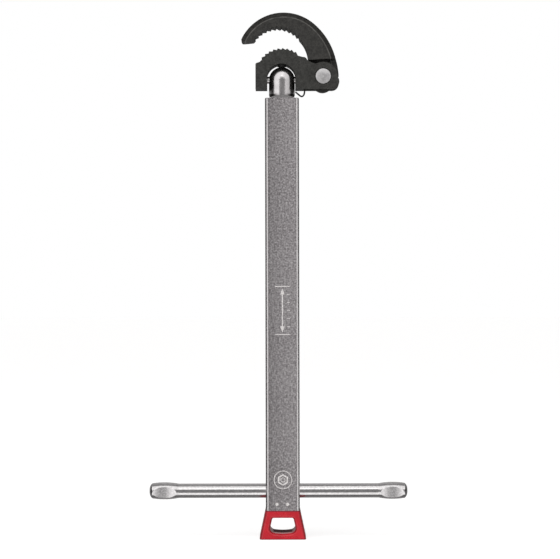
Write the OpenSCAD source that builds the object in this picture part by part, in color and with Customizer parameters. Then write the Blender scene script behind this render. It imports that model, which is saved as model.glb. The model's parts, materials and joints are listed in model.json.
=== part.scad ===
// Telescoping basin wrench: square tube handle with a sliding T-bar, a square
// shank that pulls out of it, and a tilting head with a sprung hook jaw.
// +Z runs up the shank to the head, +X points to the jaw rivet, -Y is the front.
// The origin is the centre of the end cap's bottom face.  Millimetres.

/* [Handle tube] */
// Outside width of the square tube
tube_w = 19.05; // [18:0.05:22]
// Bore of the square tube, across flats
tube_bore = 14.3; // [14.2:0.05:14.6]
// Outside corner radius of the tube
tube_corner = 2.0; // [1:0.1:3]
// Height of the tube's lower end
tube_z0 = 16.1; // [14:0.1:17]
// Height of the tube's upper end
tube_z1 = 247.0; // [230:0.1:247.2]

/* [End cap] */
// Width of the end cap where it meets the tube
cap_top_w = 19.4; // [19.2:0.1:22]
// Width of the end cap at its base
cap_base_w = 26.2; // [22:0.1:32]
// Depth of the end cap, front to back
cap_depth = 20.4; // [19.2:0.1:24]
// Width of the lanyard hole at its top
loop_top_w = 12.2; // [8:0.1:13]
// Width of the lanyard hole at its bottom
loop_base_w = 14.3; // [8:0.1:16]

/* [T-bar] */
// Diameter of the T-bar
bar_d = 8.1; // [7:0.1:9]
// Length of the T-bar
bar_len = 145.2; // [120:0.1:200]
// Height of the T-bar's axis
bar_z = 26.4; // [26:0.1:30]
// How far the bar stands off centre
bar_shift = -2.4; // [-30:0.1:30]

/* [Telescoping shank] */
// Width of the square shank
shank_w = 14.0; // [13:0.1:14.1]
// Diameter of the turned upper end
neck_d = 14.6; // [12:0.1:14.8]
// Travel of the shank out of the tube
travel = 152.4; // [50:0.1:160]
// Distance between the lock holes
hole_pitch = 25.4; // [20:0.1:40]
// Diameter of the lock ball
ball_d = 5.0; // [4:0.1:6]

/* [Head] */
// Height of the head's tilt axis
pivot_z = 257.8; // [255:0.1:262]
// Diameter of the pivot pin
pin_d = 4.0; // [3:0.1:5]
// Thickness of the head, front to back
head_t = 14.0; // [12:0.1:16]
// Half width of the notch that straddles the shank
notch_r = 7.9; // [7.6:0.05:9]
// Radius of the notch's arch, over the shank's dome
arch_r = 8.15; // [7.9:0.05:9]
// Width of the slot for the jaw's tongue
slot_w = 7.6; // [6:0.1:9]
// Tip radius of the toothed crown
crown_r = 15.06; // [13:0.1:16]
// Depth of the teeth
tooth_h = 0.9; // [0.5:0.05:1.2]

/* [Hook jaw] */
// Diameter of the rivet the jaw turns on
rivet_d = 6.0; // [5:0.1:7]
// Diameter of the rivet heads
rivet_head_d = 8.4; // [8:0.1:10]
// Radius of the back of the hook near its tip
hook_r = 26.3; // [25:0.1:28]
// Radius of the back of the hook near the rivet
heel_r = 37.67; // [35:0.1:40]
// Radius of the toothed inside of the hook, to the tooth tips
gullet_r = 15.1; // [14:0.1:16.5]
// Width of the bevel along the back of the hook
bevel_w = 2.7; // [1:0.1:4]
// Thickness of the jaw's tongue
tongue_t = 4.4; // [3:0.1:5]
// Wire diameter of the jaw spring
spring_wire = 0.9; // [0.6:0.1:1]

/* [Hidden] */
$fn = 96;
e = 0.01;

rivet = [23.2, 259.4];            // jaw axis, x and z
lug_r = 7.9;                      // ear of the head round the rivet
eye_r = 7.8;                      // eye of the jaw's tongue
lobe_c = [22.9, 256.5];           // low lobe of the eye
lobe_r = 5.8;
tongue_c = [-7.9, 258.0];         // centre of the tongue's back
tongue_r = 40;
body_z0 = 252.3;                  // underside of the head
body_x0 = -14.8;                  // left side of the head
foot_r = 4;                       // lower corner of the head under the rivet
foot_c = [28.2, body_z0 + foot_r];
notch_x = -0.35;                  // the notch sits a little off the middle
arch_z = pivot_z + 0.45;          // centre of the notch's arch
slot_x0 = 12.2;                   // closed end of the tongue slot
crown_c = [0.14, 260.05];         // centre of the toothed crown
hook_c = [0.99, 268.84];          // centre of the hook's back, tip side
join_a = 49.6;                    // direction in which the two back radii meet
heel_c = hook_c - (heel_r - hook_r)*[cos(join_a), sin(join_a)];
gullet_c = [-2.5, 271.5];         // centre of the toothed inside
throat_c = [-2.5, 268.25];       // centre of the plain inside, near the rivet
throat_r = 17.3;
hook_tip_a = [-23, 278.65];       // end face of the hook, from its back
hook_tip_b = [-15, 279.45];       // to its inside
step_a = [14.5, 268.43];          // shoulder of the jaw above the ears
step_b = [33.0, 269.40];
tongue_y0 = slot_w/2 - 0.1 - tongue_t;
neck_z0 = 248.9;                  // where the turned neck starts
shank_z0 = 36;
ball_z = 60;
pin_z = 232;                      // stop pin in the tube wall
plug_z0 = pivot_z + neck_d/2 + 0.05;

// Turns an x-z outline into a slab from y0 to y1.
module slab(y0, y1) translate([0, y1, 0]) rotate([90, 0, 0]) linear_extrude(height = y1 - y0) children();
// A cylinder along x, and one along y.
module xrod(x0, x1, d, z, y = 0) translate([x0, y, z]) rotate([0, 90, 0]) cylinder(h = x1 - x0, d = d);
module yrod(y0, y1, d, x, z) translate([x, y1, z]) rotate([90, 0, 0]) cylinder(h = y1 - y0, d = d);
module rsquare(w, r) {
    square([w - 2*r, w], center = true);
    square([w, w - 2*r], center = true);
    for (sx = [-1, 1], sy = [-1, 1]) translate([sx, sy]*(w/2 - r)) circle(r = r);
}
function polar(c, r, a) = [c[0] + r*cos(a), c[1] + r*sin(a)];

// A round wire swept through points p, with n sides.
function unit(v) = v/norm(v);
function tangent(p, i) = unit(p[min(i + 1, len(p) - 1)] - p[max(i - 1, 0)]);
function side1(t) = unit(cross(t, abs(t[1]) < 0.8 ? [0, 1, 0] : [1, 0, 0]));
module wire(p, d, n = 8) {
    m = len(p);
    pts = [for (i = [0:m - 1]) let (t = tangent(p, i), u = side1(t), v = cross(t, u))
           for (k = [0:n - 1]) p[i] + d/2*(cos(360*k/n)*u + sin(360*k/n)*v)];
    faces = concat([[for (k = [0:n - 1]) k]],
        [for (i = [0:m - 2]) for (k = [0:n - 1])
            [i*n + k, (i + 1)*n + k, (i + 1)*n + (k + 1) % n, i*n + (k + 1) % n]],
        [[for (k = [n - 1:-1:0]) (m - 1)*n + k]]);
    polyhedron(points = pts, faces = faces, convexity = 8);
}
// Centre line of a compression spring along z, with closed end turns.
function coil(r, z0, z1, turns, step = 20) = [for (i = [0:turns*360/step])
    let (a = i*step, f = i*step/(turns*360), g = f < 0.12 ? f*0.3 : f > 0.88 ? 1 - (1 - f)*0.3 : 0.036 + (f - 0.12)*0.928/0.76)
    [r*cos(a), r*sin(a), z0 + (z1 - z0)*g]];

// ---- handle ----
module outer_tube() color([0.53, 0.51, 0.52]) difference() {
    translate([0, 0, tube_z0]) linear_extrude(height = tube_z1 - tube_z0) difference() {
        rsquare(tube_w, tube_corner);
        rsquare(tube_bore, 0.5);
    }
    // deburred upper rim
    for (a = [0:90:270]) rotate(a) translate([tube_w/2, 0, tube_z1]) rotate([0, 45, 0])
        cube([0.6, 2*tube_w, 0.6], center = true);
    // T-bar holes
    xrod(-tube_w, tube_w, bar_d + 0.2, bar_z);
    // lock holes in the rear wall
    for (i = [0:round(travel/hole_pitch)]) yrod(4, tube_w, 4.4, 0, ball_z + i*hole_pitch);
    // stop pin hole in the left wall
    xrod(-tube_w, -4, pin_d, pin_z);
    // punched stake marks that hold the cap's tenon
    for (x = [-3.3, 2.6]) translate([x, -tube_w/2 - 0.55, 19.8]) sphere(r = 1.15, $fn = 32);
}
module end_cap() color([0.8, 0.16, 0.2]) {
    difference() {
        slab(-cap_depth/2, cap_depth/2) difference() {
            union() {
                polygon([[-cap_base_w/2 + 0.5, 0], [cap_base_w/2 - 0.5, 0], [cap_base_w/2 - 0.12, 0.15], [cap_base_w/2, 0.6],
                         [cap_top_w/2 + 0.1, tube_z0 - 0.35], [cap_top_w/2 - 0.2, tube_z0], [-cap_top_w/2 + 0.2, tube_z0],
                         [-cap_top_w/2 - 0.1, tube_z0 - 0.35], [-cap_base_w/2, 0.6], [-cap_base_w/2 + 0.12, 0.15]]);
            }
            lanyard_hole();
        }
        // softened upright corners
        for (sx = [-1, 1], sy = [-1, 1]) translate([sx*cap_base_w/2, sy*cap_depth/2, 0])
            rotate([0, -sx*10.7, 0]) rotate(45) cube([1.3, 1.3, 60], center = true);
    }
    translate([0, 0, tube_z0 - e]) linear_extrude(height = 5.8) rsquare(tube_bore - 0.1, 0.6);
}
module lanyard_hole() {
    z1 = 12.05; r1 = 1.0;       // ceiling and its corners
    z0 = 3.5; r0 = 3.0;         // floor and its corners
    tw = loop_top_w/2; bw = loop_base_w/2;
    polygon([[-tw + r1, z1], [tw - r1, z1], [tw + 0.02, z1 - r1], [bw, z0 + r0], [bw - 0.9, z0 + 0.9], [bw - r0, z0],
             [-bw + r0, z0], [-bw + 0.9, z0 + 0.9], [-bw, z0 + r0], [-tw - 0.02, z1 - r1]]);
    for (s = [-1, 1]) {
        translate([s*(tw - r1), z1 - r1]) circle(r = r1);
        translate([s*(bw - r0 - 0.02), z0 + r0 - 0.02]) circle(r = r0);
    }
    // the floor of the hole dips in a shallow arc
    intersection() {
        translate([0, 34.2]) circle(r = 31.0, $fn = 180);
        translate([-4.3, 2.5]) square([8.6, 2.5]);
    }
}
module stop_pin() color([0.6, 0.6, 0.6]) {
    xrod(-tube_w/2 + 0.1, -5.2, pin_d, pin_z);
}
module t_bar() color([0.75, 0.74, 0.75]) translate([bar_shift, 0, bar_z]) difference() {
    r = bar_d/2; h = bar_len/2;
    swell_r = r + 0.76; flat_a = 10;
    rotate([0, 90, 0]) union() {
        rotate_extrude() polygon(concat(bar_end(r, -h, 1), [for (i = [6:-1:0]) bar_end(r, h, -1)[i]]));
        // the pressed ends swell out round the flats
        for (s = [-1, 1]) translate([0, 0, s*(h - 8.4)]) rotate_extrude() intersection() {
            translate([swell_r - 42, 0]) circle(r = 42, $fn = 360);
            translate([0, -s*0.65 - 7.35]) square([swell_r + 2, 14.7]);
        }
    }
    for (s = [-1, 1], f = [-1, 1]) rotate([flat_a, 0, 0]) translate([s*(h - 8.7), f*(3.59 + 31.1), 0])
        cylinder(h = 2*bar_d, r = 31.1, center = true, $fn = 180);
}
// Outline of the bar's rounded end, from the axis outwards.
function bar_end(r, z, s) = [[0, z], [1.6, z], [2.45, z + s*0.2], [3.2, z + s*0.55], [3.85, z + s*1.05], [r + 0.22, z + s*1.5], [r, z + s*7]];

// ---- telescoping shank ----
module inner_shank() color([0.8, 0.8, 0.8]) difference() {
    union() {
        intersection() {
            translate([0, 0, shank_z0]) linear_extrude(height = neck_z0 + 1 - shank_z0) rsquare(shank_w, 0.9);
            // turned shoulder, and a chamfer at the lower end
            rotate_extrude() polygon([[0, shank_z0], [7.0, shank_z0], [10.6, shank_z0 + 3], [10.6, neck_z0 - 3.55*tan(30)],
                                      [neck_d/2, neck_z0], [neck_d/2, neck_z0 + 1], [0, neck_z0 + 1]]);
        }
        translate([0, 0, neck_z0]) cylinder(h = pivot_z - neck_z0, d = neck_d);
        translate([0, 0, pivot_z]) sphere(d = neck_d);
    }
    xrod(-20, 20, pin_d + 0.1, pivot_z);
    // groove for the stop pin
    translate([-shank_w/2 - 1, -2.15, pin_z - 2.2 - travel]) cube([3.1, 4.3, travel + 4.4]);
    // pocket for the lock ball and its spring
    yrod(-1.5, 10, ball_d + 0.1, 0, ball_z);
}
module lock_ball() color([0.85, 0.85, 0.86]) translate([0, tube_bore/2 - 0.05 - ball_d/2, ball_z]) sphere(d = ball_d);
module lock_spring() color([0.3, 0.3, 0.3])
    translate([0, 0, ball_z]) rotate([-90, 0, 0]) wire(coil(1.75, -1.1, tube_bore/2 - ball_d - 0.05 - 0.1, 4, 30), 0.5);

// ---- head ----
function crown_pt(i, root) = polar(crown_c, root ? crown_r - tooth_h : crown_r, 139.5 - 10.07*i + (root ? 2.6 : 0));
module body_solid() {
    t = head_t/2;
    slab(-t, t) polygon(concat(
        [[body_x0, body_z0 - 1], [body_x0, 266.2], [body_x0 + 0.4, 266.7], [body_x0 + 1.2, 267.0], [-12.6, 267.25]],
        [for (i = [0:8]) for (root = [true, false]) crown_pt(i, root)],
        [[9.0, 270.8], [10.4, 270.42], [11.5, 270.13], [12.9, 269.95], [13.6, 269.5], [14.3, 268.45], [15.4, 267.6], [16.8, 266.9],
         [18.2, 266.5], [20.5, 266.0], [24, 262.5], [27, 259], [27, body_z0 - 1]]));
    yrod(-t, t, 2*lug_r, rivet[0], rivet[1]);
    yrod(-t, t, 2*foot_r, foot_c[0], foot_c[1]);
    // straight flank between the ear and the lower corner
    slab(-t, t) polygon([rivet, polar(rivet, lug_r - 0.12, 20), polar(foot_c, foot_r - 0.12, 16), foot_c + [0.5, -2], [24, 254]]);
    slab(-t, t) translate([20, body_z0 - 1]) square([foot_c[0] - 20, 3]);
}
module head_body() color([0.25, 0.24, 0.23]) difference() {
    body_solid();
    translate([-40, -20, body_z0 - 20]) cube([90, 40, 20]);
    // notch that straddles the shank
    translate([notch_x - notch_r, -20, body_z0 - 5]) cube([2*notch_r, 40, pivot_z - body_z0 + 5]);
    yrod(-20, 20, 2*arch_r, notch_x, arch_z);
    translate([slot_x0, -slot_w/2, 240]) cube([30, slot_w, 40]);
    // pivot pin: right through the left leg, blind in the right
    xrod(-20, slot_x0 - 1, pin_d, pivot_z);
    // bore for the friction plug and its spring
    translate([0, 0, pivot_z]) cylinder(h = 272.2 - pivot_z, d = 4.8);
    // rivet hole with a recess for each head
    yrod(-10, 10, rivet_d, rivet[0], rivet[1]);
    for (s = [-1, 1]) translate([rivet[0], s*head_t/2, rivet[1]]) rotate([s*90, 0, 0]) {
        translate([0, 0, -1]) cylinder(h = 2, d = rivet_head_d + 0.1);
        translate([0, 0, -0.1]) cylinder(h = 0.6, d1 = rivet_head_d + 1.3, d2 = rivet_head_d + 0.1);
    }
}
module head_pivot_pin() color([0.75, 0.75, 0.75]) xrod(body_x0 + 0.1, slot_x0 - 1.1, pin_d, pivot_z);
module friction_plug() color([0.3, 0.3, 0.29]) {
    translate([0, 0, plug_z0]) cylinder(h = 4.4, d = 4.7);
}
module friction_spring() color([0.45, 0.45, 0.45])
    wire(coil(1.55, plug_z0 + 4.4 + 0.35, 272.2 - 0.35, 3, 30), 0.5);

// ---- jaw ----
module jaw_rivet() color([0.8, 0.8, 0.8]) {
    yrod(-head_t/2 + 0.5, head_t/2 - 0.5, rivet_d, rivet[0], rivet[1]);
    for (s = [-1, 1]) translate([rivet[0], s*(head_t/2 - 1), rivet[1]]) rotate([-s*90, 0, 0]) {
        intersection() {
            cylinder(h = 2, d = rivet_head_d);
            translate([0, 0, 1.4 - 14]) sphere(r = 14);
        }
    }
}
// A disc in the x-z plane whose rim is bevelled to both faces.
module bevel_disc(c, r) translate([c[0], 0, c[1]]) rotate([90, 0, 0]) rotate_extrude($fn = 180)
    polygon([[0, -head_t/2], [r - bevel_w, -head_t/2], [r, -head_t/2 + 1.5], [r, head_t/2 - 1.5], [r - bevel_w, head_t/2], [0, head_t/2]]);
module heel_side() translate([heel_c[0], heel_c[1]]) rotate(join_a) translate([-100, -200]) square([300, 200]);
function gullet_pt(i, root) = polar(gullet_c, root ? gullet_r + tooth_h : gullet_r, 133.8 - 9.95*i - (root ? 2.6 : 0));
module hook_void() {
    translate(gullet_c) circle(r = gullet_r, $fn = 180);
    for (i = [-1:9]) polygon([gullet_pt(i, false), gullet_pt(i, true), gullet_pt(i + 1, false), gullet_c]);
    translate(throat_c) circle(r = throat_r, $fn = 180);
    slope = (hook_tip_b[1] - hook_tip_a[1])/(hook_tip_b[0] - hook_tip_a[0]);
    polygon([[-40, 230], [-2, 230], [-2, hook_tip_b[1] + 13*slope], [-40, hook_tip_a[1] - 17*slope]]);
    // rounded outer corner of the tip
    r = 1.2;
    tz = hook_tip_a[1] + r + 0.1;
    tc = [hook_c[0] - sqrt(pow(hook_r - r, 2) - pow(tz - hook_c[1], 2)), tz];
    difference() {
        polygon([[tc[0] + 0.12, tz - r - 1], tc, hook_c + hook_r/(hook_r - r)*(tc - hook_c) + [-0.6, 0.3], [-30, 281], [-30, 277]]);
        translate(tc) circle(r = r, $fn = 32);
    }
}
module hook_jaw() color([0.24, 0.23, 0.22]) difference() {
    union() {
        difference() {
            union() {
                bevel_disc(hook_c, hook_r);
                intersection() {
                    bevel_disc(heel_c, heel_r);
                    slab(-10, 10) heel_side();
                }
            }
            slab(-10, 10) {
                hook_void();
                polygon([[-40, 200], [-40, 268.4], step_a, step_b, [60, 269.4], [60, 200]]);
            }
        }
        slab(tongue_y0, tongue_y0 + tongue_t) difference() {
            union() {
                translate(rivet) circle(r = eye_r);
                translate(lobe_c) circle(r = lobe_r);
                intersection() {
                    translate(tongue_c) circle(r = tongue_r, $fn = 180);
                    polygon([[15.2, 270.5], [28, 270.5], [34, 269], [34, 260.2], rivet + [eye_r - 0.3, 0.1], rivet, rivet - [eye_r - 0.1, 0]]);
                }
            }
            translate(throat_c) circle(r = throat_r, $fn = 180);
        }
    }
    yrod(-10, 10, rivet_d + 0.1, rivet[0], rivet[1]);
    // hole for the spring's upper leg
    translate([rivet[0] + 3.9, tongue_y0 - 0.5, 262]) cylinder(h = 10.5, d = 1.2, $fn = 24);
}
// Torsion spring: lower leg round the slot's closed end, coil on the rivet, upper leg into the jaw.
spring_r = 3.9;
spring_y0 = -slot_w/2 + 0.5;
spring_y1 = tongue_y0 - 0.5;
leg_lo = [[7.5, 250.9], [8.5, 250.05], [9.5, 249.2], [10.3, 248.55], [11.1, 248.25], [11.8, 248.5], [12.4, 249.3],
          [12.7, 250.5], [12.75, 252], [12.85, 253.4], [13.4, 254.6], [14.5, 255.3], [16.5, 255.5], [20, 255.5]];
module jaw_spring() color([0.12, 0.12, 0.12])
    wire(concat(
        [for (q = leg_lo) [q[0], spring_y0, q[1]]],
        [for (a = [-90:20:710]) [rivet[0] + spring_r*cos(a), spring_y0 + (spring_y1 - spring_y0)*(a + 90)/810, rivet[1] + spring_r*sin(a)]],
        [[rivet[0] + spring_r, spring_y1, rivet[1]], [rivet[0] + spring_r, spring_y1, 265], [rivet[0] + spring_r, spring_y1, 271.5]]), spring_wire);

outer_tube();
end_cap();
stop_pin();
t_bar();
inner_shank();
lock_ball();
lock_spring();
head_pivot_pin();
head_body();
friction_plug();
friction_spring();
jaw_rivet();
hook_jaw();
jaw_spring();
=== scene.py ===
# Looks for the basin wrench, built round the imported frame.
import json
import math

import bmesh
import bpy
from mathutils import Matrix, Vector


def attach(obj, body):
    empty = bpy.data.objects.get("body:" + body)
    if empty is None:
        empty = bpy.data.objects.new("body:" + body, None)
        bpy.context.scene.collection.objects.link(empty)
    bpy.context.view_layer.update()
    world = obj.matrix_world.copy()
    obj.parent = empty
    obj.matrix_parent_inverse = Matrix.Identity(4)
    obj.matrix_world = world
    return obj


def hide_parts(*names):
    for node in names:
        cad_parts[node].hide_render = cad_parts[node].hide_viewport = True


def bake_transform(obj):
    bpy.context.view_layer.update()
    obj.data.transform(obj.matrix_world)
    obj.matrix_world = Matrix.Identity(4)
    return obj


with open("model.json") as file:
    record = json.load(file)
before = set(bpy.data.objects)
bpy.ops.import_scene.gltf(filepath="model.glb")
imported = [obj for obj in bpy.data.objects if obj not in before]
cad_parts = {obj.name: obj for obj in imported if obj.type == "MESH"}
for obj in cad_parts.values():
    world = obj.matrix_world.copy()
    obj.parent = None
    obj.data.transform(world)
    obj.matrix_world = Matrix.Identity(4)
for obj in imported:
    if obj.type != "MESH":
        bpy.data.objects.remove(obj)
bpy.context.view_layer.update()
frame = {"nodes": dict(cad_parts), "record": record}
NODES = frame["nodes"]


MM = 0.001
scene = bpy.context.scene


# ---------------------------------------------------------------- node helpers
class Tree:
    def __init__(self, name):
        self.mat = bpy.data.materials.new(name)
        self.mat.use_nodes = True
        self.nt = self.mat.node_tree
        self.nt.nodes.clear()
        self.out = self.nt.nodes.new("ShaderNodeOutputMaterial")
        self.bsdf = self.nt.nodes.new("ShaderNodeBsdfPrincipled")
        self.nt.links.new(self.bsdf.outputs[0], self.out.inputs[0])
        self.coord = self.nt.nodes.new("ShaderNodeTexCoord").outputs["Object"]

    def new(self, kind, **inputs):
        n = self.nt.nodes.new(kind)
        for k, v in inputs.items():
            self.put(n, k.replace("_", " "), v)
        return n

    def put(self, node, key, value):
        s = node.inputs[key]
        if isinstance(value, bpy.types.NodeSocket):
            self.nt.links.new(value, s)
        else:
            s.default_value = value

    def mapping(self, scale=(1, 1, 1), rot=(0, 0, 0)):
        m = self.nt.nodes.new("ShaderNodeMapping")
        m.inputs["Scale"].default_value = scale
        m.inputs["Rotation"].default_value = rot
        self.nt.links.new(self.coord, m.inputs["Vector"])
        return m.outputs[0]

    def noise(self, scale, detail=3.0, rough=0.55, vec=None, distortion=0.0):
        n = self.nt.nodes.new("ShaderNodeTexNoise")
        n.inputs["Scale"].default_value = scale
        n.inputs["Detail"].default_value = detail
        n.inputs["Roughness"].default_value = rough
        n.inputs["Distortion"].default_value = distortion
        self.nt.links.new(vec or self.coord, n.inputs["Vector"])
        return n.outputs["Fac"]

    def voronoi(self, scale, feature="F1", vec=None, out="Distance"):
        n = self.nt.nodes.new("ShaderNodeTexVoronoi")
        n.feature = feature
        n.inputs["Scale"].default_value = scale
        self.nt.links.new(vec or self.coord, n.inputs["Vector"])
        return n.outputs[out]

    def ramp(self, fac, stops, interpolation="LINEAR"):
        n = self.nt.nodes.new("ShaderNodeValToRGB")
        n.color_ramp.interpolation = interpolation
        els = n.color_ramp.elements
        while len(els) < len(stops):
            els.new(0.5)
        for el, (p, c) in zip(els, stops):
            el.position = p
            el.color = (c, c, c, 1) if isinstance(c, (int, float)) else (*c, 1)
        self.nt.links.new(fac, n.inputs[0])
        return n.outputs[0]

    def fade(self, value, a, b, start=1.0, stop=0.0):
        """start up to a, stop from b on; for distances in metres, finer than a ramp can hold."""
        n = self.nt.nodes.new("ShaderNodeMapRange")
        n.clamp = True
        self.nt.links.new(value, n.inputs["Value"])
        for key, v in (("From Min", a), ("From Max", b), ("To Min", start), ("To Max", stop)):
            n.inputs[key].default_value = v
        return n.outputs[0]

    def mix(self, fac, a, b, blend="MIX"):
        n = self.nt.nodes.new("ShaderNodeMix")
        n.data_type = "RGBA"
        n.blend_type = blend
        for s, v in ((n.inputs[0], fac), (n.inputs[6], a), (n.inputs[7], b)):
            if isinstance(v, bpy.types.NodeSocket):
                self.nt.links.new(v, s)
            elif isinstance(v, (int, float)) and s.type == "RGBA":
                s.default_value = (v, v, v, 1)
            elif isinstance(v, tuple):
                s.default_value = (*v, 1)
            else:
                s.default_value = v
        return n.outputs[2]

    def math(self, op, a, b=0.0, clamp=False):
        n = self.nt.nodes.new("ShaderNodeMath")
        n.operation = op
        n.use_clamp = clamp
        for s, v in ((n.inputs[0], a), (n.inputs[1], b)):
            if isinstance(v, bpy.types.NodeSocket):
                self.nt.links.new(v, s)
            else:
                s.default_value = v
        return n.outputs[0]

    def bump(self, height, strength, distance, normal=None):
        n = self.nt.nodes.new("ShaderNodeBump")
        n.inputs["Strength"].default_value = strength
        n.inputs["Distance"].default_value = distance
        self.nt.links.new(height, n.inputs["Height"])
        if normal is not None:
            self.nt.links.new(normal, n.inputs["Normal"])
        return n.outputs[0]

    def vec(self, op, a, b=None, out="Vector"):
        n = self.nt.nodes.new("ShaderNodeVectorMath")
        n.operation = op
        for s, v in ((n.inputs[0], a), (n.inputs[1], b)):
            if isinstance(v, bpy.types.NodeSocket):
                self.nt.links.new(v, s)
            elif v is not None:
                s.default_value = v
        return n.outputs[out]

    def axis_normal(self, axis):
        """One component of the surface normal in the piece's own frame."""
        tc = self.nt.nodes.new("ShaderNodeTexCoord")
        sep = self.nt.nodes.new("ShaderNodeSeparateXYZ")
        self.nt.links.new(tc.outputs["Normal"], sep.inputs[0])
        return sep.outputs[axis]

    def principled(self, **inputs):
        for k, v in inputs.items():
            self.put(self.bsdf, k.replace("_", " "), v)
        return self.mat


# ---------------------------------------------------------------- materials
def tube_steel():
    t = Tree("tube_steel")
    grain = t.noise(1050, 2, 0.5)
    fleck = t.noise(520, 2, 0.5)
    cloud = t.noise(38, 3, 0.5)
    base = t.ramp(grain, [(0.32, (0.37, 0.35, 0.36)), (0.50, (0.53, 0.505, 0.52)), (0.68, (0.76, 0.735, 0.75))])
    base = t.mix(0.40, base, t.ramp(fleck, [(0.36, 0.32), (0.64, 0.68)]), "OVERLAY")
    base = t.mix(0.34, base, t.ramp(cloud, [(0.3, 0.36), (0.7, 0.64)]), "OVERLAY")
    # painted shade: a shade darker towards the left of the front face, standing in for the reflection falling off over
    # the face
    sep = t.nt.nodes.new("ShaderNodeSeparateXYZ")
    t.nt.links.new(t.coord, sep.inputs[0])
    painted_falloff = t.ramp(t.math("ADD", t.math("MULTIPLY", sep.outputs[0], 50.0), 0.5), [(0.08, 0.86), (0.20, 1.02), (0.50, 1.17), (0.75, 1.25)])
    base = t.mix(1.0, base, painted_falloff, "MULTIPLY")
    # rolled corners: a painted shade line where the radius starts, then a painted highlight on the radius, brighter on
    # the right, over smoother rubbed metal
    nx = t.math("ABSOLUTE", t.axis_normal("X"))
    ny = t.math("ABSOLUTE", t.axis_normal("Y"))
    corner = t.math("MINIMUM", nx, ny)
    line = t.ramp(corner, [(0.015, 0.0), (0.05, 1.0), (0.16, 1.0), (0.24, 0.0)])
    rub_and_highlight = t.ramp(corner, [(0.18, 0.0), (0.30, 1.0)])
    base = t.mix(line, base, t.mix(1.0, base, 0.70, "MULTIPLY"))
    base = t.mix(t.math("MULTIPLY", rub_and_highlight, 0.60), base, t.mix(t.math("GREATER_THAN", sep.outputs[0], 0.0), (0.78, 0.765, 0.77), (1.0, 0.985, 0.99)))
    # painted highlight inside the two punched stake marks, with smoother metal there
    stake_glint = None
    for x in (-0.0033, 0.0026):
        d = t.vec("DISTANCE", t.coord, (x, -0.0100, 0.0198), "Value")
        m = t.fade(d, 0.00105, 0.00125)
        stake_glint = m if stake_glint is None else t.math("MAXIMUM", stake_glint, m)
    base = t.mix(stake_glint, base, (1.0, 0.98, 0.97))
    rough = t.math("ADD", t.math("MULTIPLY", grain, 0.20), 0.29)
    rough = t.math("SUBTRACT", rough, t.math("MULTIPLY", t.math("MAXIMUM", stake_glint, t.math("MULTIPLY", rub_and_highlight, 0.8)), 0.14))
    n = t.bump(grain, 0.22, 0.00006)
    n = t.bump(fleck, 0.10, 0.00010, n)
    return t.principled(Base_Color=base, Metallic=1.0, Roughness=rough, Normal=n)


def head_phosphate(name, dark, light, painted_side_shade=0.55, rough0=0.56, wear_and_highlight=None):
    """Ground front and back faces, and duller edges and bevels left from the forge, with painted shade on them."""
    t = Tree(name)
    grain = t.noise(1300, 3, 0.6)
    blot = t.noise(520, 2, 0.55)
    cloud = t.noise(60, 2, 0.5)
    f = t.math("ADD", t.math("MULTIPLY", grain, 0.55), t.math("MULTIPLY", blot, 0.45))
    base = t.ramp(f, [(0.36, dark), (0.64, light)])
    base = t.mix(0.16, base, t.ramp(cloud, [(0.35, 0.40), (0.65, 0.60)]), "OVERLAY")
    ny = t.axis_normal("Y")
    side = t.ramp(t.math("ABSOLUTE", ny), [(0.90, 1.0), (0.985, 0.0)])
    rough = t.math("ADD", t.math("MULTIPLY", grain, 0.14), rough0 - 0.07)
    # painted shade: the edges and bevels darker than the ground faces
    base = t.mix(side, base, t.mix(1.0, base, (painted_side_shade, painted_side_shade, painted_side_shade), "MULTIPLY"))
    # a rubbed edge line with a painted highlight on it, where given
    if wear_and_highlight:
        base = t.mix(wear_and_highlight(t), base, (0.135, 0.132, 0.123))
    n = t.bump(grain, 0.20, 0.00005)
    n = t.bump(blot, 0.08, 0.00008, n)
    shine = t.ramp(side, [(0.0, 0.50), (1.0, 0.16)])
    metal = t.ramp(side, [(0.0, 0.25), (1.0, 0.08)])
    return t.principled(Base_Color=base, Metallic=metal, Roughness=rough, Normal=n, Specular_IOR_Level=shine)


def bevel_line(t):
    """Rubbed line where the hook's flat meets the bevel along its back, lightened as a painted highlight."""
    def band(cx, cz, r):
        flat = t.vec("MULTIPLY", t.vec("SUBTRACT", t.coord, (cx, 0.0, cz)), (1.0, 0.0, 1.0))
        off = t.math("ABSOLUTE", t.math("SUBTRACT", t.vec("LENGTH", flat, None, "Value"), r))
        return flat, t.fade(off, 0.00016, 0.00036)
    tip, line_a = band(0.00099, 0.26884, 0.02360)
    heel, line_b = band(-0.006379, 0.260181, 0.03497)
    # which of the two back radii a point belongs to
    turn = t.vec("DOT_PRODUCT", heel, (0.7615, 0.0, -0.6481), "Value")
    heel_side = t.math("GREATER_THAN", turn, 0.0)
    line = t.math("ADD", t.math("MULTIPLY", line_b, heel_side),
                  t.math("MULTIPLY", line_a, t.math("SUBTRACT", 1.0, heel_side)))
    wear = t.ramp(t.noise(230, 3, 0.6), [(0.30, 0.25), (0.60, 1.0)])
    return t.math("MULTIPLY", t.math("MULTIPLY", line, wear), 0.75)


# rounded edges: wear, and lighter than the faces as a painted highlight
def edge_wear_and_highlight(name, dark, light, metallic=0.5, rough=0.42):
    t = Tree(name)
    grain = t.noise(1500, 3, 0.6)
    wear = t.noise(260, 3, 0.6)
    base = t.ramp(t.math("ADD", t.math("MULTIPLY", grain, 0.4), t.math("MULTIPLY", wear, 0.6)), [(0.38, dark), (0.62, light)])
    r = t.math("ADD", t.math("MULTIPLY", grain, 0.16), rough - 0.08)
    return t.principled(Base_Color=base, Metallic=metallic, Roughness=r, Normal=t.bump(grain, 0.15, 0.00004))


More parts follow.
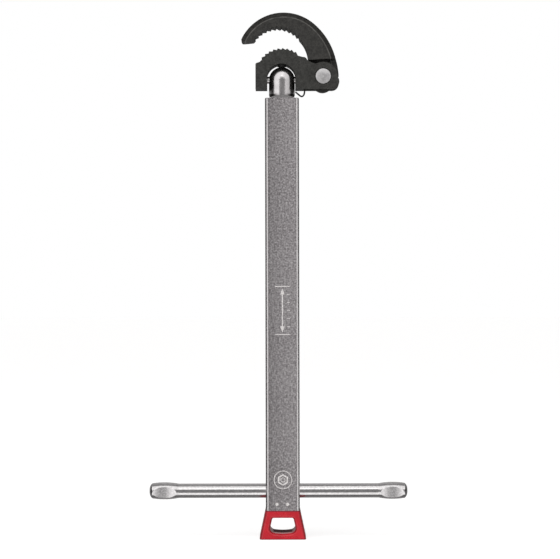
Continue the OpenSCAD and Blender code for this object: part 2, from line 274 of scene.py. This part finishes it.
def chrome(name, base, rough, scratch=0.06, axis="z", tone=0.06):
    t = Tree(name)
    scale = {"z": (1, 1, 40), "x": (40, 1, 1), "y": (1, 40, 1)}[axis]
    lines = t.noise(90, 2, 0.5, t.mapping(scale))
    haze = t.noise(260, 3, 0.55)
    c = t.ramp(haze, [(0.3, tuple(b * (1 - tone) for b in base)), (0.7, tuple(min(1, b * (1 + tone)) for b in base))])
    r = t.math("ADD", t.math("MULTIPLY", haze, rough * 0.8), rough * 0.6)
    n = t.bump(lines, scratch, 0.00002)
    n = t.bump(haze, scratch, 0.00003, n)
    return t.principled(Base_Color=c, Metallic=1.0, Roughness=r, Normal=n)


def shank_chrome():
    """Polished shank: fine speckle, and a painted shade line for the undercut at the foot of the turned neck."""
    t = Tree("shank_chrome")
    lines = t.noise(90, 2, 0.5, t.mapping((1, 1, 40)))
    haze = t.noise(420, 4, 0.62)
    speck = t.noise(1150, 2, 0.5)
    c = t.ramp(haze, [(0.30, (0.66, 0.64, 0.65)), (0.70, (0.84, 0.825, 0.835))])
    c = t.mix(0.30, c, t.ramp(speck, [(0.34, 0.34), (0.66, 0.62)]), "OVERLAY")
    sep = t.nt.nodes.new("ShaderNodeSeparateXYZ")
    t.nt.links.new(t.coord, sep.inputs[0])
    # painted shade in the undercut at the foot of the turned neck
    near = t.fade(t.math("ABSOLUTE", t.math("SUBTRACT", sep.outputs[2], 0.24925)), 0.00026, 0.00050)
    away = t.fade(t.math("ABSOLUTE", sep.outputs[0]), 0.0018, 0.0046, 0.15, 1.0)
    neck_shade = t.math("MULTIPLY", near, away)
    c = t.mix(neck_shade, c, (0.10, 0.09, 0.09))
    r = t.math("ADD", t.math("MULTIPLY", haze, 0.20), 0.12)
    n = t.bump(lines, 0.14, 0.00002)
    n = t.bump(haze, 0.20, 0.00004, n)
    n = t.bump(speck, 0.12, 0.00003, n)
    return t.principled(Base_Color=c, Metallic=1.0, Roughness=r, Normal=n)


def bar_chrome():
    t = Tree("bar_chrome")
    draw = t.noise(60, 3, 0.6, t.mapping((1.6, 26, 26)))
    haze = t.noise(900, 3, 0.6)
    wear = t.noise(75, 3, 0.55)
    c = t.ramp(haze, [(0.3, (0.65, 0.64, 0.65)), (0.7, (0.87, 0.86, 0.87))])
    c = t.mix(0.25, c, t.ramp(wear, [(0.35, 0.36), (0.65, 0.58)]), "OVERLAY")
    r = t.math("ADD", t.math("MULTIPLY", haze, 0.10), 0.10)
    n = t.bump(draw, 0.12, 0.00004)
    n = t.bump(haze, 0.14, 0.00003, n)
    return t.principled(Base_Color=c, Metallic=1.0, Roughness=r, Normal=n)


def rivet_steel():
    t = Tree("rivet_steel")
    # turning marks round the rivet's own axis
    flat = t.vec("MULTIPLY", t.vec("SUBTRACT", t.coord, (0.0232, 0.0, 0.2594)), (1.0, 0.0, 1.0))
    radius = t.vec("LENGTH", flat, None, "Value")
    rings = t.math("SINE", t.math("MULTIPLY", radius, 9000.0))
    haze = t.noise(420, 3, 0.6)
    swirl = t.noise(240, 3, 0.6, distortion=1.5)
    c = t.ramp(haze, [(0.3, (0.58, 0.575, 0.585)), (0.7, (0.80, 0.795, 0.805))])
    c = t.mix(0.4, c, t.ramp(swirl, [(0.35, 0.40), (0.65, 0.60)]), "OVERLAY")
    r = t.math("ADD", t.math("MULTIPLY", haze, 0.14), 0.36)
    n = t.bump(rings, 0.06, 0.00002)
    n = t.bump(swirl, 0.20, 0.00012, n)
    return t.principled(Base_Color=c, Metallic=1.0, Roughness=r, Normal=n)


def red_plastic():
    t = Tree("red_plastic")
    grain = t.noise(2600, 2, 0.5)
    cloud = t.noise(110, 3, 0.5)
    base = t.ramp(cloud, [(0.3, (0.46, 0.008, 0.018)), (0.7, (0.58, 0.014, 0.028))])
    base = t.mix(0.10, base, t.ramp(grain, [(0.3, 0.35), (0.7, 0.6)]), "OVERLAY")
    # painted shade: the cap's left and right sides darker than its front
    nx = t.math("ABSOLUTE", t.axis_normal("X"))
    base = t.mix(1.0, base, t.ramp(nx, [(0.20, 1.0), (0.62, 0.60), (1.0, 0.55)]), "MULTIPLY")
    # painted shade part way through the lanyard hole, on a duller mould skin there
    sep = t.nt.nodes.new("ShaderNodeSeparateXYZ")
    t.nt.links.new(t.coord, sep.inputs[0])
    deep = t.fade(t.math("ABSOLUTE", t.math("SUBTRACT", sep.outputs[1], 0.0022)), 0.0052, 0.0064)
    wide = t.fade(t.math("ABSOLUTE", sep.outputs[0]), 0.0050, 0.0058)
    low = t.fade(sep.outputs[2], 0.0095, 0.0105)
    inside = t.math("MULTIPLY", t.math("MULTIPLY", deep, wide), low)
    base = t.mix(inside, base, t.mix(1.0, base, (0.22, 0.30, 0.40), "MULTIPLY"))
    # painted contact shadow under the tube, and painted shade along the foot
    contact_shade = t.math("MAXIMUM", t.fade(sep.outputs[2], 0.00025, 0.00070), t.fade(sep.outputs[2], 0.01545, 0.01580, 0.0, 1.0))
    base = t.mix(t.math("MULTIPLY", contact_shade, 0.75), base, (0.14, 0.006, 0.020))
    r = t.math("ADD", t.math("MULTIPLY", cloud, 0.10), 0.22)
    r = t.math("ADD", r, t.math("MULTIPLY", inside, 0.30))
    n = t.bump(grain, 0.08, 0.00003)
    dull = t.ramp(t.math("MAXIMUM", inside, t.math("MULTIPLY", contact_shade, 0.6)), [(0.0, 0.5), (1.0, 0.06)])
    t.principled(Specular_IOR_Level=dull)
    return t.principled(Base_Color=base, Metallic=0.0, Roughness=r, Normal=n, IOR=1.50)


def wire_black():
    t = Tree("black_wire")
    draw = t.noise(700, 2, 0.5)
    base = t.ramp(draw, [(0.3, (0.006, 0.006, 0.006)), (0.7, (0.020, 0.020, 0.019))])
    r = t.math("ADD", t.math("MULTIPLY", draw, 0.2), 0.34)
    return t.principled(Base_Color=base, Metallic=0.3, Roughness=r, Normal=t.bump(draw, 0.1, 0.00003))


def etched():
    t = Tree("etched_mark")
    g = t.noise(1600, 3, 0.6)
    base = t.ramp(g, [(0.35, (0.50, 0.48, 0.475)), (0.65, (0.86, 0.83, 0.82))])
    r = t.math("ADD", t.math("MULTIPLY", g, 0.2), 0.48)
    return t.principled(Base_Color=base, Metallic=0.2, Roughness=r, Normal=t.bump(g, 0.2, 0.00003))


MATS = {
    "tube_steel": tube_steel(),
    "red_plastic": red_plastic(),
    "pin_steel": chrome("pin_steel", (0.80, 0.79, 0.78), 0.20, 0.05, "x"),
    "bar_chrome": bar_chrome(),
    "shank_chrome": shank_chrome(),
    "ball_steel": chrome("ball_steel", (0.82, 0.82, 0.82), 0.08, 0.02),
    "spring_steel": chrome("spring_steel", (0.42, 0.42, 0.41), 0.30, 0.10),
    "head_phosphate": head_phosphate("head_phosphate", (0.014, 0.014, 0.0125), (0.046, 0.0455, 0.042), 0.62),
    "plug_steel": head_phosphate("plug_steel", (0.025, 0.025, 0.024), (0.06, 0.06, 0.057)),
    "rivet_steel": rivet_steel(),
    "jaw_phosphate": head_phosphate("jaw_phosphate", (0.013, 0.0125, 0.0115), (0.044, 0.0425, 0.039), 0.80, wear_and_highlight=bevel_line),
    "black_wire": wire_black(),
}
ETCHED = etched()
# lighter colours for the rounded edges: wear plus a painted highlight
HEAD_EDGE = edge_wear_and_highlight("head_edge", (0.085, 0.084, 0.079), (0.19, 0.187, 0.176))
JAW_EDGE = edge_wear_and_highlight("jaw_edge", (0.045, 0.044, 0.041), (0.100, 0.098, 0.092))
TUBE_EDGE = edge_wear_and_highlight("tube_edge", (0.50, 0.49, 0.49), (0.80, 0.79, 0.79), 1.0, 0.30)

for sub in frame["record"]["subparts"]:
    obj = NODES[sub["node"]]
    obj.data.materials.clear()
    obj.data.materials.append(MATS[sub["material_slot"]])


# ---------------------------------------------------------------- edges
def soften(node, width, segments=2, angle=28, edge=None, flat=0.35):
    """Rounds a CAD node's edges, and can give the rounding its own colour, wear with a painted highlight."""
    obj = NODES[node]
    if edge is not None:
        obj.data.materials.append(edge)
    m = obj.modifiers.new("weld", "WELD")
    m.merge_threshold = 0.000002
    m = obj.modifiers.new("planar", "DECIMATE")
    m.decimate_type = "DISSOLVE"
    m.angle_limit = math.radians(flat)
    m = obj.modifiers.new("edge", "BEVEL")
    m.width = width
    m.segments = segments
    m.limit_method = "ANGLE"
    m.angle_limit = math.radians(angle)
    m.use_clamp_overlap = True
    m.harden_normals = True
    m.miter_outer = "MITER_ARC"
    if edge is not None:
        m.material = 1
    return obj


soften("hook_jaw", 0.00035, 2, 24, JAW_EDGE)
soften("head_body", 0.00035, 2, 24, HEAD_EDGE)


# ---------------------------------------------------------------- end cap
def mesh_object(name, verts, faces, mat, smooth=True):
    me = bpy.data.meshes.new(name)
    me.from_pydata(verts, [], faces)
    bm = bmesh.new()
    bm.from_mesh(me)
    bmesh.ops.recalc_face_normals(bm, faces=bm.faces)
    bm.to_mesh(me)
    bm.free()
    me.polygons.foreach_set("use_smooth", [smooth] * len(me.polygons))
    me.update()
    o = bpy.data.objects.new(name, me)
    scene.collection.objects.link(o)
    me.materials.append(mat)
    return o


def arc_points(cx, cz, r, a0, a1, n):
    return [(cx + r * math.cos(math.radians(a0 + (a1 - a0) * i / n)), cz + r * math.sin(math.radians(a0 + (a1 - a0) * i / n))) for i in range(n + 1)]


def hole_outline():
    """Lanyard hole, in mm, anticlockwise: round lower corners and a dipped floor."""
    pts = arc_points(5.1, 11.05, 1.0, 8, 90, 6) + arc_points(-5.1, 11.05, 1.0, 90, 172, 6)
    pts += arc_points(-4.15, 6.5, 3.0, 184, 262, 10)
    pts += [(x, 34.2 - math.sqrt(31.0 ** 2 - x * x)) for x in (-3.0, -1.8, -0.6, 0.6, 1.8, 3.0)]
    pts += arc_points(4.15, 6.5, 3.0, 278, 356, 10)
    return pts


def signed(pts, x, z):
    """Distance to a convex outline, negative inside, with its direction."""
    best, grad, inside = 1e9, (1.0, 0.0), True
    n = len(pts)
    for i in range(n):
        ax_, az_ = pts[i]
        bx, bz = pts[(i + 1) % n]
        ex, ez = bx - ax_, bz - az_
        q = max(0.0, min(1.0, ((x - ax_) * ex + (z - az_) * ez) / (ex * ex + ez * ez)))
        dx, dz = x - ax_ - q * ex, z - az_ - q * ez
        d = math.hypot(dx, dz)
        if ex * (z - az_) - ez * (x - ax_) < 0:
            inside = False
        if d < best:
            best = d
            grad = (dx / d, dz / d) if d > 1e-9 else (ez / math.hypot(ex, ez), -ex / math.hypot(ex, ez))
    if inside:
        return -best, (-grad[0], -grad[1])
    return best, grad


def build_cap():
    count = 128
    cz = 7.6
    half_y = 10.2
    hole = hole_outline()
    # side, bottom and top planes of the body: normal, distance from (0, cz), edge radius
    a = math.atan2(3.4, 16.1)
    side_d = 13.1 * math.cos(a) - cz * math.sin(a)
    planes = [((math.cos(a), math.sin(a)), side_d, 1.9), ((-math.cos(a), math.sin(a)), side_d, 1.9),
              ((0.0, -1.0), cz, 0.65), ((0.0, 1.0), 16.1 - cz, 0.60)]
    # rays from the middle of the hole, more of them towards the four outer corners
    rays = []
    corners = [math.atan2(16.1 - cz, 9.7), math.pi - math.atan2(16.1 - cz, 9.7), math.pi + math.atan2(cz, 13.1), 2 * math.pi - math.atan2(cz, 13.1)]
    for i in range(count):
        ang = 2 * math.pi * i / count
        pull = sum(0.030 * math.sin(min(math.pi, max(-math.pi, (c - ang + math.pi) % (2 * math.pi) - math.pi)) * 1.0) *
                   math.exp(-(((c - ang + math.pi) % (2 * math.pi) - math.pi) / 0.16) ** 2) * 12 for c in corners)
        rays.append(ang + pull)
    rays = sorted(rays)

    def drop(r, s):
        return 0.0 if s >= r else r - math.sqrt(max(0.0, r * r - (r - s) ** 2))

    def outer(ang, s):
        u = (math.cos(ang), math.sin(ang))
        total = 0.0
        for nrm, d, r in planes:
            k = nrm[0] * u[0] + nrm[1] * u[1]
            if k > 0:
                total += (k / (d - drop(r, s))) ** 110
        t = total ** (-1.0 / 110)
        return t * u[0], cz + t * u[1]

    def inner(ang, s):
        u = (math.cos(ang), math.sin(ang))
        want = drop(1.7, s)
        t = 6.0
        for _ in range(24):
            d, g = signed(hole, t * u[0], cz + t * u[1])
            k = g[0] * u[0] + g[1] * u[1]
            step = (want - d) / max(0.35, k)
            t += step
            if abs(step) < 1e-6:
                break
        return t * u[0], cz + t * u[1]

    depth_out = [0.0, 0.015, 0.06, 0.13, 0.24, 0.38, 0.55, 0.78, 1.05, 1.42, 1.9]
    depth_in = [0.0, 0.02, 0.07, 0.16, 0.30, 0.48, 0.70, 0.98, 1.32, 1.7]
    loops = []
    for s in depth_in[::-1]:
        loops.append([(inner(r, s), -half_y + s) for r in rays])
    for s in depth_out:
        loops.append([(outer(r, s), -half_y + s) for r in rays])
    for s in depth_out[::-1]:
        loops.append([(outer(r, s), half_y - s) for r in rays])
    for s in depth_in:
        loops.append([(inner(r, s), half_y - s) for r in rays])
    verts, faces = [], []
    for loop in loops:
        for (x, z), y in loop:
            verts.append((x * MM, y * MM, max(0.0, z) * MM))
    m = len(loops)
    for i in range(m):
        for k in range(count):
            j = (i + 1) % m
            faces.append((i * count + k, i * count + (k + 1) % count, j * count + (k + 1) % count, j * count + k))
    # tenon up inside the tube
    w, r = 7.1, 0.6
    ring = []
    for cx_, cy_, a0 in ((w - r, w - r, 0), (r - w, w - r, 90), (r - w, r - w, 180), (w - r, r - w, 270)):
        ring += arc_points(cx_, cy_, r, a0, a0 + 90, 4)
    base = len(verts)
    for z in (15.7, 21.85):
        verts += [(x * MM, y * MM, z * MM) for x, y in ring]
    n = len(ring)
    faces += [(base + k, base + (k + 1) % n, base + n + (k + 1) % n, base + n + k) for k in range(n)]
    faces.append([base + k for k in range(n)][::-1])
    faces.append([base + n + k for k in range(n)])
    o = mesh_object("cap_moulding", verts, faces, MATS["red_plastic"])
    m = o.modifiers.new("normals", "WEIGHTED_NORMAL")
    m.mode = "FACE_AREA"
    m.keep_sharp = True
    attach(o, "handle")
    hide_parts("end_cap")
    return o


build_cap()


# ---------------------------------------------------------------- jaw spring
def catmull(points, per):
    out = []
    n = len(points)
    for i in range(n - 1):
        p0, p1, p2, p3 = points[max(i - 1, 0)], points[i], points[i + 1], points[min(i + 2, n - 1)]
        for k in range(per):
            t = k / per
            out.append(0.5 * ((2 * p1) + (p2 - p0) * t + (2 * p0 - 5 * p1 + 4 * p2 - p3) * t * t + (3 * p1 - p0 - 3 * p2 + p3) * t ** 3))
    out.append(points[-1])
    return out


def wire(name, path, radius, mat, sides=16):
    """A round wire with domed ends along a path of vectors."""
    verts, faces = [], []
    t0 = (path[1] - path[0]).normalized()
    ref = Vector((0, 1, 0)) if abs(t0.y) < 0.8 else Vector((1, 0, 0))
    u = t0.cross(ref).normalized()
    rings = []
    n = len(path)
    for i in range(n):
        t = (path[min(i + 1, n - 1)] - path[max(i - 1, 0)]).normalized()
        u = (u - t * u.dot(t)).normalized()
        rings.append((path[i], t, u.copy(), radius))
    caps_a = [(rings[0][0] - rings[0][1] * radius * math.sin(q), rings[0][1], rings[0][2], radius * math.cos(q)) for q in (1.25, 0.9, 0.45)]
    caps_b = [(rings[-1][0] + rings[-1][1] * radius * math.sin(q), rings[-1][1], rings[-1][2], radius * math.cos(q)) for q in (0.45, 0.9, 1.25)]
    rings = caps_a + rings + caps_b
    for p, t, u, r in rings:
        v = t.cross(u)
        for k in range(sides):
            a = 2 * math.pi * k / sides
            verts.append(p + r * (math.cos(a) * u + math.sin(a) * v))
    m = len(rings)
    for i in range(m - 1):
        for k in range(sides):
            faces.append((i * sides + k, i * sides + (k + 1) % sides, (i + 1) * sides + (k + 1) % sides, (i + 1) * sides + k))
    faces.append([k for k in range(sides)][::-1])
    faces.append([(m - 1) * sides + k for k in range(sides)])
    return mesh_object(name, verts, faces, mat)


def build_spring():
    y0, y1, r = -3.3, -1.2, 3.9
    rx, rz = 23.2, 259.4
    lower = [(7.85, 250.6), (8.5, 250.05), (9.5, 249.2), (10.3, 248.55), (11.1, 248.25), (11.8, 248.5), (12.4, 249.3),
             (12.7, 250.5), (12.75, 252), (12.85, 253.4), (13.4, 254.6), (14.5, 255.3), (16.5, 255.5), (20, 255.5)]
    pts = catmull([Vector((x, y0, z)) for x, z in lower] + [Vector((rx, y0, rz - r))], 6)[:-1]
    for i in range(163):
        a = -90 + 5.0 * i
        f = (a + 90) / 810
        if a > 720:
            break
        # settle on each end's level so the legs leave the coil squarely
        g = f * f * (3 - 2 * f) * 0.25 + f * 0.75
        pts.append(Vector((rx + r * math.cos(math.radians(a)), y0 + (y1 - y0) * g, rz + r * math.sin(math.radians(a)))))
    for z in (260.4, 262.0, 265.0, 268.0, 271.1):
        pts.append(Vector((rx + r, y1, z)))
    o = wire("spring_wire", [p * MM for p in pts], 0.45 * MM, MATS["black_wire"])
    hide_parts("jaw_spring")
    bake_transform(o)
    return o


build_spring()


# ---------------------------------------------------------------- etched marks
def etched_marks():
    """Generic marks on the front of the tube: a nut in a ring, and an extension arrow."""
    y_out, y_in = -9.545, -9.50
    verts, faces = [], []

    def prism(loop):
        base = len(verts)
        n = len(loop)
        for y in (y_out, y_in):
            verts.extend((x * MM, y * MM, z * MM) for x, z in loop)
        faces.append([base + k for k in range(n)])
        faces.append([base + n + k for k in range(n)][::-1])
        faces.extend((base + k, base + (k + 1) % n, base + n + (k + 1) % n, base + n + k) for k in range(n))

    def band(outer, inner):
        base = len(verts)
        n = len(outer)
        for loop, y in ((outer, y_out), (inner, y_out), (inner, y_in), (outer, y_in)):
            verts.extend((x * MM, y * MM, z * MM) for x, z in loop)
        for j in range(4):
            for k in range(n):
                a, b = base + j * n, base + ((j + 1) % 4) * n
                faces.append((a + k, a + (k + 1) % n, b + (k + 1) % n, b + k))

    def ring(cx, cz, r0, r1, n, turn=0.0):
        pts = [(2 * math.pi * k / n + turn) for k in range(n)]
        band([(cx + r1 * math.cos(a), cz + r1 * math.sin(a)) for a in pts], [(cx + r0 * math.cos(a), cz + r0 * math.sin(a)) for a in pts])

    for item in MARKS:
        if item[0] == "ring":
            ring(*item[1:])
        else:
            prism(item[1])
    o = mesh_object("etched_marks", verts, faces, ETCHED, smooth=False)
    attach(o, "handle")
    return o


def box_loop(x0, z0, x1, z1):
    return [(x0, z0), (x1, z0), (x1, z1), (x0, z1)]


MARKS = [
    ("ring", 0.1, 33.4, 4.75, 5.15, 72),
    ("ring", 0.1, 33.4, 2.35, 3.25, 6, math.pi / 6),
    ("ring", 0.1, 33.4, 1.00, 1.35, 40),
    # arrow up and down the tube with stops beside it
    ("poly", box_loop(-0.28, 119.2, 0.28, 137.0)),
    ("poly", [(-1.25, 137.0), (1.25, 137.0), (0.0, 140.4)]),
    ("poly", [(-1.25, 119.2), (0.0, 115.8), (1.25, 119.2)]),
    ("poly", box_loop(-4.2, 141.3, 4.2, 141.75)),
    ("poly", box_loop(-4.2, 114.45, 4.2, 114.9)),
]
for k in range(1, 6):
    zc = 114.7 + k * (141.5 - 114.7) / 6
    MARKS.append(("poly", box_loop(2.6, zc - 0.16, 4.2, zc + 0.16)))
etched_marks()


# ---------------------------------------------------------------- camera
CAM_ROLL = 0.13
cam = bpy.data.cameras.new("camera")
cam_obj = bpy.data.objects.new("camera", cam)
scene.collection.objects.link(cam_obj)
cam.sensor_width = 36.0
cam.lens = 36.0 * 1.040 / 0.3158
cam.clip_start = 0.05
cam.clip_end = 20
cam_obj.location = (-0.0013, -1.040, 0.1454)
# the tool leans a touch to the left in view
cam_obj.rotation_euler = (math.radians(90), math.radians(CAM_ROLL), 0)
scene.camera = cam_obj


# ---------------------------------------------------------------- stage
def plane(name, verts, mat):
    me = bpy.data.meshes.new(name)
    me.from_pydata(verts, [], [list(range(len(verts)))])
    o = bpy.data.objects.new(name, me)
    scene.collection.objects.link(o)
    me.materials.append(mat)
    return o


def matte(name, color, rough=0.9):
    m = bpy.data.materials.new(name)
    m.use_nodes = True
    b = m.node_tree.nodes["Principled BSDF"]
    b.inputs["Base Color"].default_value = (*color, 1)
    b.inputs["Roughness"].default_value = rough
    return m


def glow(name, color, strength):
    m = bpy.data.materials.new(name)
    m.use_nodes = True
    nt = m.node_tree
    nt.nodes.clear()
    e = nt.nodes.new("ShaderNodeEmission")
    e.inputs[0].default_value = (*color, 1)
    e.inputs[1].default_value = strength
    o = nt.nodes.new("ShaderNodeOutputMaterial")
    nt.links.new(e.outputs[0], o.inputs[0])
    return m


floor_mat = matte("floor_pale", (0.42, 0.42, 0.42))
fb = floor_mat.node_tree.nodes["Principled BSDF"]
fb.inputs["Emission Color"].default_value = (1, 1, 1, 1)
fb.inputs["Emission Strength"].default_value = 0.78
floor = plane("floor", [(-6, -6, 0), (6, -6, 0), (6, 6, 0), (-6, 6, 0)], floor_mat)
floor.visible_glossy = False


def area(name, loc, target, size, power, color=(1, 1, 1), glossy=True):
    l = bpy.data.lights.new(name, "AREA")
    l.shape = "RECTANGLE"
    l.size, l.size_y = size
    l.energy = power
    l.color = color
    o = bpy.data.objects.new(name, l)
    scene.collection.objects.link(o)
    o.location = loc
    d = Vector(target) - Vector(loc)
    o.rotation_euler = d.to_track_quat("-Z", "Y").to_euler()
    o.visible_glossy = glossy
    return o


area("top_box", (-0.15, -0.45, 1.1), (0, 0, 0.12), (1.0, 0.7), 3.0, glossy=False)
area("left_key", (-0.75, -0.75, 0.55), (0, 0, 0.25), (0.5, 0.6), 1.0, glossy=False)


def studio():
    """A ring of soft boxes round the viewing side, grey in the middle and dark behind."""
    world = bpy.data.worlds.new("studio")
    scene.world = world
    world.use_nodes = True
    nt = world.node_tree
    nt.nodes.clear()

    def new(kind):
        return nt.nodes.new(kind)

    def math_(op, a, b=0.0, clamp=False):
        n = new("ShaderNodeMath")
        n.operation = op
        n.use_clamp = clamp
        for s_, v in ((n.inputs[0], a), (n.inputs[1], b)):
            if isinstance(v, bpy.types.NodeSocket):
                nt.links.new(v, s_)
            else:
                s_.default_value = v
        return n.outputs[0]

    def ramp(fac, stops, mode="EASE"):
        n = new("ShaderNodeValToRGB")
        n.color_ramp.interpolation = mode
        els = n.color_ramp.elements
        while len(els) < len(stops):
            els.new(0.5)
        for el, (pos, c) in zip(els, stops):
            el.position = pos
            el.color = (c, c, c, 1)
        nt.links.new(fac, n.inputs[0])
        return n.outputs[0]

    coord = new("ShaderNodeTexCoord")
    sep = new("ShaderNodeSeparateXYZ")
    nt.links.new(coord.outputs["Generated"], sep.inputs[0])
    x, y, z = sep.outputs
    # angle away from the middle of the ring, 0 in front and 1 behind
    ax, ay, az = ENV["axis"]
    dot = math_("ADD", math_("ADD", math_("MULTIPLY", x, ax), math_("MULTIPLY", y, ay)), math_("MULTIPLY", z, az))
    theta = math_("DIVIDE", math_("ARCCOSINE", dot), math.pi)
    # the boxes end a little sooner below than above
    lower = math_("ADD", theta, math_("MULTIPLY", math_("MAXIMUM", math_("MULTIPLY", z, -1.0), 0.0), ENV["lift"]))
    # direction round the viewing axis: 0 right, .25 up, .5 left, .75 down
    roll = math_("FRACT", math_("ADD", math_("DIVIDE", math_("ARCTAN2", z, x), 2 * math.pi), 1.0))
    inner = math_("SUBTRACT", theta, math_("MULTIPLY", math_("MAXIMUM", math_("MULTIPLY", z, -1.0), 0.0), ENV["drop"]))
    ring = math_("MULTIPLY", ramp(inner, ENV["ring"]), ramp(lower, ENV["fall"]))
    hx, hy, hz = ENV["hot"]
    hot = math_("ADD", math_("ADD", math_("MULTIPLY", x, hx), math_("MULTIPLY", y, hy)), math_("MULTIPLY", z, hz))
    hot = ramp(math_("DIVIDE", math_("ARCCOSINE", hot), math.pi), ENV["hot_edge"])
    sides = ramp(roll, ENV["roll"])
    base = ramp(theta, ENV["base"])
    outer = math_("MULTIPLY", ramp(theta, ENV["outer"]), ramp(roll, ENV["outer_roll"]))
    amount = math_("ADD", math_("ADD", math_("MULTIPLY", math_("MULTIPLY", ring, sides), ENV["gain"]), base), outer)
    amount = math_("ADD", amount, math_("MULTIPLY", hot, ENV["hot_gain"]))
    path = new("ShaderNodeLightPath")
    env = new("ShaderNodeBackground")
    env.inputs[0].default_value = (1.0, 0.985, 0.975, 1)
    nt.links.new(amount, env.inputs[1])
    white = new("ShaderNodeBackground")
    white.inputs[0].default_value = (1, 1, 1, 1)
    white.inputs[1].default_value = 1.0
    mix = new("ShaderNodeMixShader")
    nt.links.new(path.outputs["Is Camera Ray"], mix.inputs[0])
    nt.links.new(env.outputs[0], mix.inputs[1])
    nt.links.new(white.outputs[0], mix.inputs[2])
    out = new("ShaderNodeOutputWorld")
    nt.links.new(mix.outputs[0], out.inputs[0])


ENV = {
    "gain": 0.95,
    "axis": (0.035, -0.9993, -0.009),
    "lift": 0.07,
    "drop": 0.018,
    "hot": (0.035, -0.819, 0.573),
    "hot_edge": [(0.0, 1.0), (0.035, 0.9), (0.060, 0.0)],
    "hot_gain": 0.45,
    # by angle from the front, as a share of 180 degrees
    "ring": [(0.0, 0.0), (0.132, 0.0), (0.168, 1.0)],
    "fall": [(0.0, 1.0), (0.400, 0.97), (0.455, 0.0)],
    "base": [(0.0, 0.22), (0.12, 0.25), (0.40, 0.08), (0.50, 0.025), (0.70, 0.16), (0.85, 0.30), (1.0, 0.36)],
    "outer": [(0.36, 0.0), (0.45, 1.0), (0.60, 1.0), (0.75, 0.8)],
    # round the viewing axis: right, up, left, down, right
    "roll": [(0.0, 0.55), (0.12, 0.82), (0.25, 1.06), (0.38, 0.95), (0.50, 0.92), (0.62, 0.95), (0.75, 1.04), (0.88, 0.82), (1.0, 0.55)],
    "outer_roll": [(0.0, 0.0), (0.12, 0.0), (0.25, 0.27), (0.38, 0.0), (0.62, 0.0), (0.75, 0.12), (0.88, 0.0), (1.0, 0.0)],
}
studio()
scene.view_settings.view_transform = "Standard"
